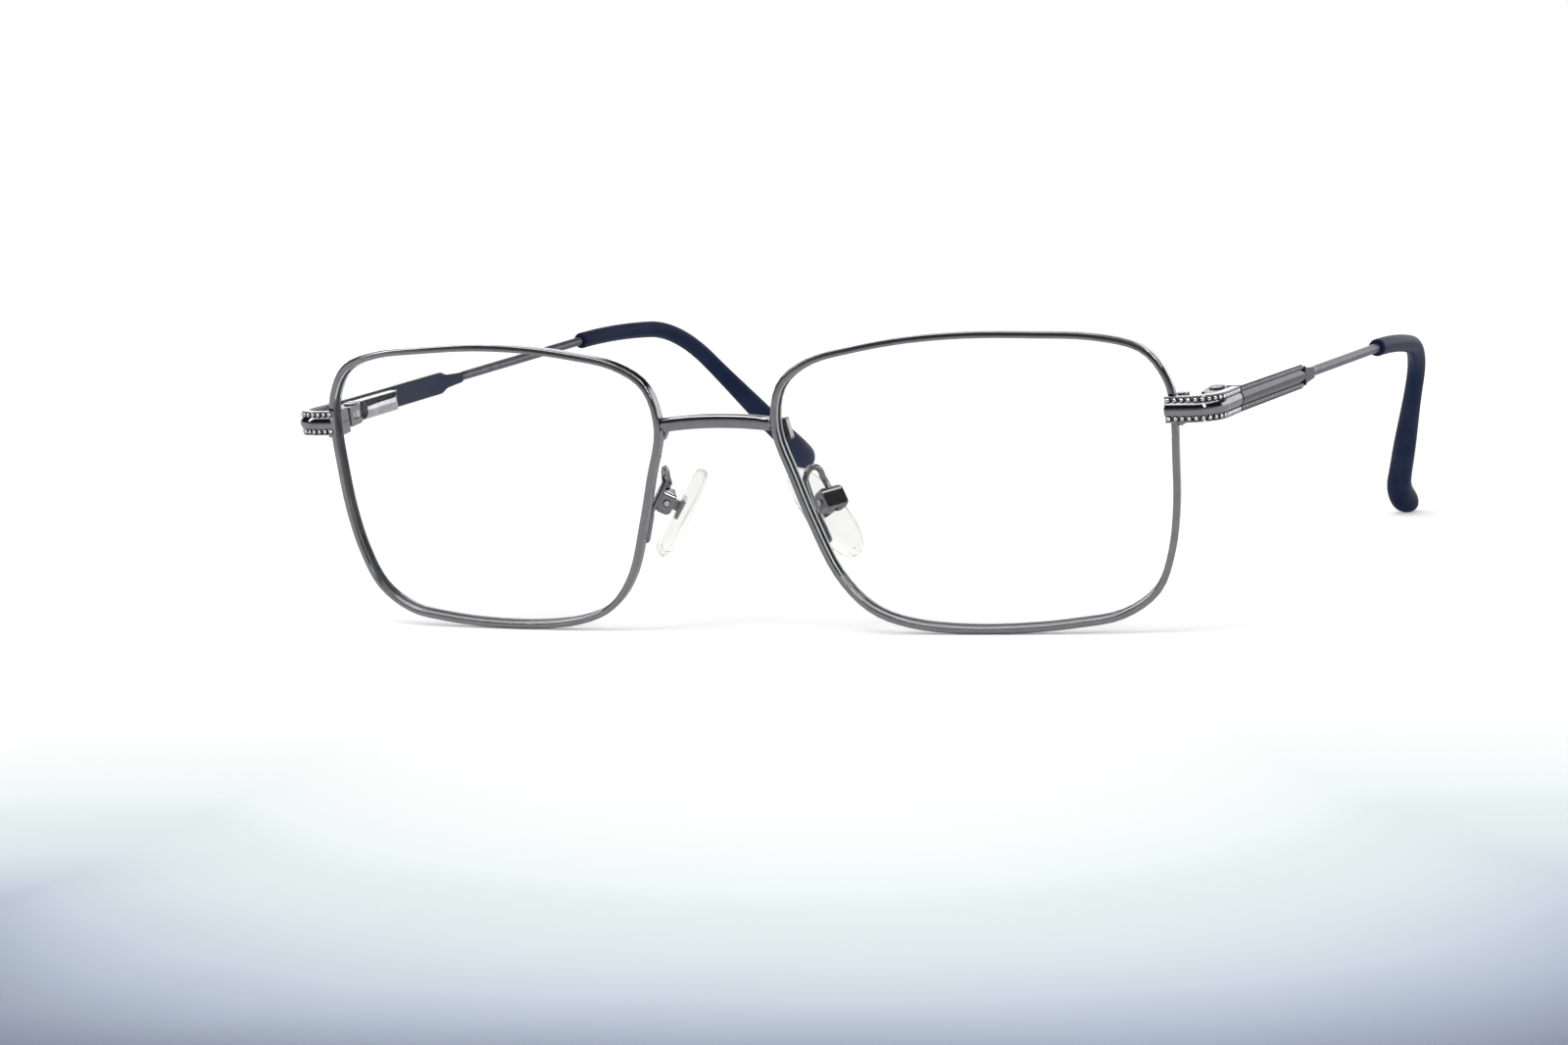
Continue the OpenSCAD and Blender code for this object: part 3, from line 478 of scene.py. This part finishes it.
# Plastic tips: from the wire's bore round the mouth, along the ear bend to the paddle's end.
# Lengths are in mm along the wire's middle line, counted from the mouth.
EASE_R = EASE_L / EASE_A
BEND_END = EASE_L + BEND_R * BEND_A
TIP_END = BEND_END + END_L
PADDLE_FROM = TIP_END - PADDLE_RUN
END_FROM = TIP_END - PADDLE_W / 2
BORE_R = WIRE_R + 0.02
BORE_IN = 0.5
MOUTH_R = 0.35
MOUTH_QUARTERS = (0.0, 0.3, 0.6, 0.85, 1.0)
BODY_FROM = 1.0
BODY_STEPS = 60
BEND_GROWTH = 0.1
END_ANGLES = (15, 30, 45, 58, 70, 80, 87)
END_BLUNT = 0.7
TIP_SIDES = 32


def arc_step(radius, start, end):
    return Vector((0, math.sin(end) - math.sin(start), math.cos(end) - math.cos(start))) * radius


def bend_point(s):
    """The wire's middle line from the tip's mouth: a gentle curve, the ear bend, a straight end."""
    if s < 0:
        return Vector((0, s, 0)), 0.0
    a = s / EASE_R if s < EASE_L else min(EASE_A + BEND_A, EASE_A + (s - EASE_L) / BEND_R)
    run = max(0.0, s - BEND_END) * Vector((0, math.cos(a), -math.sin(a)))
    return arc_step(EASE_R, 0, min(a, EASE_A)) + arc_step(BEND_R, EASE_A, max(a, EASE_A)) + run, a


def tip_ring(s, width, thickness):
    """A ring across the middle line; the paddle's end curls outward and back."""
    centre, a = bend_point(s)
    upward = Vector((0, math.sin(a), math.cos(a)))
    curl = max(0.0, (s - TIP_END + CURL_RUN) / CURL_RUN) ** 2
    centre += curl * (Vector((CURL_OUT, 0, 0)) + CURL_BACK * upward)
    turns = [2 * math.pi * i / TIP_SIDES for i in range(TIP_SIDES)]
    return [centre + Vector((thickness * math.sin(q), 0, 0)) + upward * width * math.cos(q)
            for q in turns]


def tip_sizes(neck, paddle):
    """Half sizes along the tip, for ease."""
    half = SLEEVE_D / 2
    return [(0, half), (BEND_END, half + BEND_GROWTH), (PADDLE_FROM, neck / 2), (END_FROM, paddle / 2)]


def temple_tip(name):
    half = SLEEVE_D / 2
    rings = [tip_ring(BORE_IN, BORE_R, BORE_R), tip_ring(0, BORE_R, BORE_R)]
    for q in MOUTH_QUARTERS:
        a = q * math.pi / 2
        radius = half - MOUTH_R * (1 - math.sin(a))
        rings.append(tip_ring(MOUTH_R * (1 - math.cos(a)), radius, radius))
    widths = tip_sizes(NECK_W, PADDLE_W)
    thicknesses = tip_sizes(NECK_T, PADDLE_T)
    for i in range(BODY_STEPS + 1):
        s = BODY_FROM + (END_FROM - BODY_FROM) * i / BODY_STEPS
        rings.append(tip_ring(s, ease(s, widths), ease(s, thicknesses)))
    for a in map(math.radians, END_ANGLES):
        rings.append(tip_ring(END_FROM + PADDLE_W / 2 * math.sin(a), PADDLE_W / 2 * math.cos(a),
                              PADDLE_T / 2 * math.cos(a) ** END_BLUNT))
    mesh = loft("tip_" + name, rings, at_bend(name), closed_start=False)
    piece("tip_" + name, mesh, "temple_" + name, "tip_navy", "temple_tip_" + name)


# Nose pads: rings from the middle of the back, round the edge, to the middle of the face.
# Each layer is a share of the outline at a share of the thickness.
PAD_LAYERS = [(0.05, 0.1), (0.5, 0.06), (0.7, 0.0), (0.85, 0.04), (0.94, 0.16), (0.985, 0.34),
              (1.0, 0.52), (0.985, 0.66), (0.93, 0.8), (0.82, 0.9), (0.62, 0.965), (0.35, 0.995),
              (0.05, 1.0)]
PAD_SQUARE_W = 0.85
PAD_SQUARE_L = 0.9
PAD_TAPER = 0.06
PAD_SIDES = 48


def pad_ring(share, depth):
    ring = []
    for i in range(PAD_SIDES):
        a = 2 * math.pi * i / PAD_SIDES
        c, s = math.cos(a), math.sin(a)
        y = PAD_W / 2 * math.copysign(abs(c) ** PAD_SQUARE_W, c) * (1 - PAD_TAPER * s)
        z = PAD_L / 2 * math.copysign(abs(s) ** PAD_SQUARE_L, s)
        ring.append((PAD_BACK - depth, y * share, z * share + PAD_DROP))
    return ring


def nose_pad(name):
    rings = [pad_ring(share, depth * PAD_T) for share, depth in PAD_LAYERS]
    mesh = loft("pad_" + name, rings, at_pad(name) @ Matrix.Rotation(PAD_TILT, 4, "X"))
    piece("pad_" + name, mesh, "pad_" + name, "pad_clear", "nose_pad_" + name)


# Rows of small beads along both edges of the end pieces and blades. The beads' middles lie
# BEAD_SINK below the metal's face.
BEAD_R = 0.31
BEAD_PITCH = 0.9
BEAD_SINK = 0.15
BEAD_DETAIL = 3
ROW_Z = 1.18
FRONT_RUN = STRIP_OUT - CORNER_R - STRIP_START
CORNER_RUN = CORNER_R * math.pi / 2
STRIP_L = FRONT_RUN + CORNER_RUN + SEAM_Y - STRIP_FRONT - CORNER_R
FIRST_BLADE_BEAD = SEAM_Y + 0.7
LAST_BLADE_BEAD = BLADE_L - 0.5


def strip_point(s):
    """A point s along the end piece's outer face, from its free end to the seam."""
    if s < FRONT_RUN:
        return Vector((STRIP_START + s, STRIP_FRONT + BEAD_SINK, 0))
    if s < FRONT_RUN + CORNER_RUN:
        a = (s - FRONT_RUN) / CORNER_R
        reach = CORNER_R - BEAD_SINK
        return Vector((STRIP_OUT - CORNER_R + reach * math.sin(a),
                       STRIP_FRONT + CORNER_R - reach * math.cos(a), 0))
    return Vector((STRIP_OUT - BEAD_SINK, STRIP_FRONT + CORNER_R + s - FRONT_RUN - CORNER_RUN, 0))


def beads(name, middles, place, body):
    """Two rows of small balls in one mesh, above and below the middles."""
    form = bmesh.new()
    for middle in middles:
        for z in (ROW_Z, -ROW_Z):
            spot = place @ Matrix.Translation(middle + Vector((0, 0, z)))
            bmesh.ops.create_icosphere(form, subdivisions=BEAD_DETAIL, radius=BEAD_R, matrix=spot)
    piece(name, to_mesh(form, name), body, "frame_metal")


def milgrain(name):
    count = round(STRIP_L / BEAD_PITCH)
    on_end = [strip_point((i + 0.5) * STRIP_L / count) for i in range(count)]
    beads("end_beads_" + name, on_end, at_end_piece(name), "front")
    run = LAST_BLADE_BEAD - FIRST_BLADE_BEAD
    count = round(run / BEAD_PITCH)
    on_blade = [Vector((STRIP_OUT - BEAD_SINK, FIRST_BLADE_BEAD + run * i / count, 0))
                for i in range(count + 1)]
    beads("blade_beads_" + name, on_blade, at_temple(name), "temple_" + name)


for side_name in SIDES:
    temple_tip(side_name)
    nose_pad(side_name)
    milgrain(side_name)

# The table. Its foreground darkens and cools to blue-grey towards the camera, as painted shade: each stop is a
# distance in front of the camera, in metres along LEVEL, with its colour.
TABLE_SIZE = 6.0
TABLE_BELOW = 0.00002
FOREGROUND_SHADE = [
    (0.246, (0.178, 0.208, 0.275)), (0.2598, (0.386, 0.445, 0.538)), (0.2702, (0.535, 0.594, 0.67)),
    (0.2855, (0.655, 0.722, 0.748)), (0.3025, (0.712, 0.79, 0.79)), (0.3118, (0.785, 0.862, 0.855)),
    (0.332, (0.88, 0.895, 0.895)), (0.39, (1, 1, 1)),
]
LEVEL = Vector((-0.21, 0.9777, 0))

# Beside the picture's middle the stops bow away from the camera by the square of the distance
# aside from CURVE_MIDDLE, times CURVE for each metre beyond CURVE_FROM, and at most by CURVE_MOST.
# MOTTLE is how far their borders wander.
CURVE = 114.0
CURVE_FROM = 0.229
CURVE_MIDDLE = -0.003
CURVE_MOST = 0.045
MOTTLE = 0.006

# Outside the picture the foreground fades to white again, to the sides and towards the camera
BESIDE_FROM = 0.075
BESIDE_TO = 0.19
BELOW_FROM = 0.225
BELOW_TO = 0.08

# Behind the glasses the table glows a little more with distance, so that no horizon shows
LIFT = 0.17
LIFT_FROM = 0.37
LIFT_TO = 0.55

# What metal mirrors of the table: pale beside the glasses, and as dark as the room nearer the camera
ROOM = 0.03
PALE_TABLE = (0.72, 0.72, 0.72)
DARK_TABLE = (ROOM, ROOM, ROOM)
DARK_FROM = 0.4
DARK_TO = 0.26


def tabletop():
    mesh = bpy.data.meshes.new("tabletop")
    form = bmesh.new()
    bmesh.ops.create_grid(form, x_segments=1, y_segments=1, size=TABLE_SIZE)
    form.to_mesh(mesh)
    form.free()
    table = bpy.data.objects.new("tabletop", mesh)
    table.location.z = -TABLE_BELOW
    bpy.context.scene.collection.objects.link(table)
    return table


def tabletop_material(view, foot):
    """White table that keeps shadows, with painted shade in its foreground; view is the camera's level direction,
    and foot its place.
    """
    material, graph, shader = new_material("tabletop")
    place = graph.place()
    ahead = graph.along(place, LEVEL)
    away = graph.math("SUBTRACT", ahead, foot.dot(LEVEL))
    right = Vector((view.y, -view.x, 0))
    aside = graph.math("SUBTRACT", graph.along(place, right), foot.dot(right) + CURVE_MIDDLE)
    growth = graph.math("MULTIPLY", graph.math("SUBTRACT", away, CURVE_FROM), CURVE)
    bow = graph.math("MULTIPLY", graph.math("MULTIPLY", aside, aside), growth)
    bow = graph.math("MINIMUM", bow, CURVE_MOST)
    mottle = graph.spread(graph.noise(scale=14, detail=2), low=-MOTTLE, high=MOTTLE)
    reach = graph.math("ADD", graph.math("SUBTRACT", ahead, bow), mottle)
    near, far = FOREGROUND_SHADE[0][0], FOREGROUND_SHADE[-1][0]
    share = graph.spread(reach, start=foot.dot(LEVEL) + near, end=foot.dot(LEVEL) + far)
    stops = [((distance - near) / (far - near), colour) for distance, colour in FOREGROUND_SHADE]
    # tone is the table's white with painted shade, darker and bluer towards the camera.
    tone = graph.stops(share, stops)
    beside = graph.step(graph.math("ABSOLUTE", aside), BESIDE_FROM, BESIDE_TO)
    below = graph.step(away, BELOW_FROM, BELOW_TO)
    tone = graph.mix(graph.math("MAXIMUM", beside, below), tone, (1, 1, 1, 1))
    darkness = graph.step(away, DARK_FROM, DARK_TO)
    in_metal = graph.ramp(darkness, PALE_TABLE, DARK_TABLE, start=0.0, end=1.0)
    tone = graph.mix(graph.add("LightPath").outputs["Is Glossy Ray"], tone, in_metal)
    graph.feed(shader.inputs["Base Color"], tone)
    rough = graph.spread(graph.noise(scale=60, detail=3), low=0.55, high=0.7)
    graph.feed(shader.inputs["Roughness"], rough)
    shader.inputs["Specular IOR Level"].default_value = 0.1
    lift = graph.math("MULTIPLY", graph.step(away, LIFT_FROM, LIFT_TO), LIFT)
    graph.feed(shader.inputs["Emission Strength"], lift)
    shader.inputs["Emission Color"].default_value = (1, 1, 1, 1)
    return material


# Light. Places in the world are the sines of their height and of how far behind they lie.
SKY = 0.62
SWEEP = 0.72
SWEEP_FROM = 0.048
SWEEP_TO = 0.036
BACKDROP = 2.0
BACKDROP_FROM = 0.3
BACKDROP_TO = 0.5
BACKDROP_TOP = 0.42
BACKDROP_FULL = 0.32
CEILING = 3.0
CEILING_FROM = 0.68
CEILING_TO = 0.84
CEILING_EDGE = 0.03


def studio_world():
    """White for the camera and through clear parts. Metal sees a pale sweep just above the table,
    a bright backdrop behind it and a dark room with one bright strip of ceiling. Everything else
    gets an even soft light."""
    world = bpy.data.worlds.new("studio")
    bpy.context.scene.world = world
    graph = Graph(world)
    path = graph.add("LightPath").outputs
    split = graph.add("SeparateXYZ", {"Vector": graph.add("TexCoord").outputs["Generated"]})
    height, behind = split.outputs["Z"], split.outputs["Y"]
    sweep = graph.math("MULTIPLY", graph.step(height, SWEEP_FROM, SWEEP_TO), SWEEP)
    wall = graph.math("MULTIPLY", graph.step(behind, BACKDROP_FROM, BACKDROP_TO), BACKDROP)
    wall = graph.math("MULTIPLY", wall, graph.step(height, BACKDROP_TOP, BACKDROP_FULL))
    rising = graph.step(height, CEILING_FROM, CEILING_FROM + CEILING_EDGE)
    falling = graph.step(height, CEILING_TO + CEILING_EDGE, CEILING_TO)
    ceiling = graph.math("MULTIPLY", graph.math("MINIMUM", rising, falling), CEILING)
    bright = graph.math("MAXIMUM", graph.math("MAXIMUM", sweep, wall), ceiling)
    mirrored = graph.math("MULTIPLY", graph.math("ADD", bright, ROOM), path["Is Glossy Ray"])
    soft = graph.math("SUBTRACT", 1.0, path["Is Glossy Ray"])
    light = graph.math("MULTIPLY_ADD", soft, SKY, mirrored)
    seen = graph.math("MAXIMUM", path["Is Camera Ray"], path["Is Transmission Ray"])
    unseen = graph.math("SUBTRACT", 1.0, seen)
    back = graph.nodes["Background"]
    graph.feed(back.inputs["Strength"], graph.math("MULTIPLY_ADD", light, unseen, seen))
    back.inputs["Color"].default_value = (1, 1, 1, 1)


def shine(name, light, place, direction):
    """Puts a light at a place and turns it to shine in a direction."""
    obj = bpy.data.objects.new(name, light)
    obj.location = place
    obj.rotation_euler = Vector(direction).to_track_quat("-Z", "Y").to_euler()
    bpy.context.scene.collection.objects.link(obj)


def sun(name, direction, strength, angle):
    """An even light over the whole table, with soft shadows."""
    light = bpy.data.lights.new(name, "SUN")
    light.energy = strength
    light.angle = angle
    shine(name, light, (0, 0, 0), direction)


def lamp(name, place, target, size, power):
    light = bpy.data.lights.new(name, "AREA")
    light.shape = "RECTANGLE"
    light.size, light.size_y = size
    light.energy = power
    shine(name, light, place, Vector(target) - Vector(place))


def camera():
    """The fitted camera. Returns its place and its level direction."""
    forward = Vector((-math.sin(YAW) * math.cos(PITCH), math.cos(YAW) * math.cos(PITCH),
                      -math.sin(PITCH)))
    right = Vector((math.cos(YAW), math.sin(YAW), 0))
    down = forward.cross(right)
    across = math.cos(ROLL) * right + math.sin(ROLL) * down
    below = -math.sin(ROLL) * right + math.cos(ROLL) * down
    turn = Matrix((across, -below, -forward)).transposed()
    to_row = FRONT.to_3x3() * (1 / MM)
    place = FRONT @ CAMERA_AT
    data = bpy.data.cameras.new("camera")
    data.sensor_width = SENSOR
    data.lens = FOCAL_PX / IMAGE_W * SENSOR
    data.clip_start = CLIP_START
    obj = bpy.data.objects.new("camera", data)
    obj.matrix_world = Matrix.Translation(place) @ (to_row @ turn).to_4x4()
    bpy.context.scene.collection.objects.link(obj)
    bpy.context.scene.camera = obj
    view = to_row @ forward
    return place, Vector((view.x, view.y, 0)).normalized()


eye, view_line = camera()
tabletop().data.materials.append(tabletop_material(view_line, eye))
studio_world()
sun("daylight", direction=(0.25, 0.35, -1), strength=0.75, angle=math.radians(35))
lamp("strip_right", place=(0.5, -0.45, 0.32), target=(0, 0, 0.02), size=(0.06, 0.3), power=1.2)
lamp("strip_left", place=(-0.6, -0.35, 0.4), target=(0, 0, 0.02), size=(0.08, 0.4), power=1.2)
bpy.context.scene.view_settings.view_transform = "Standard"
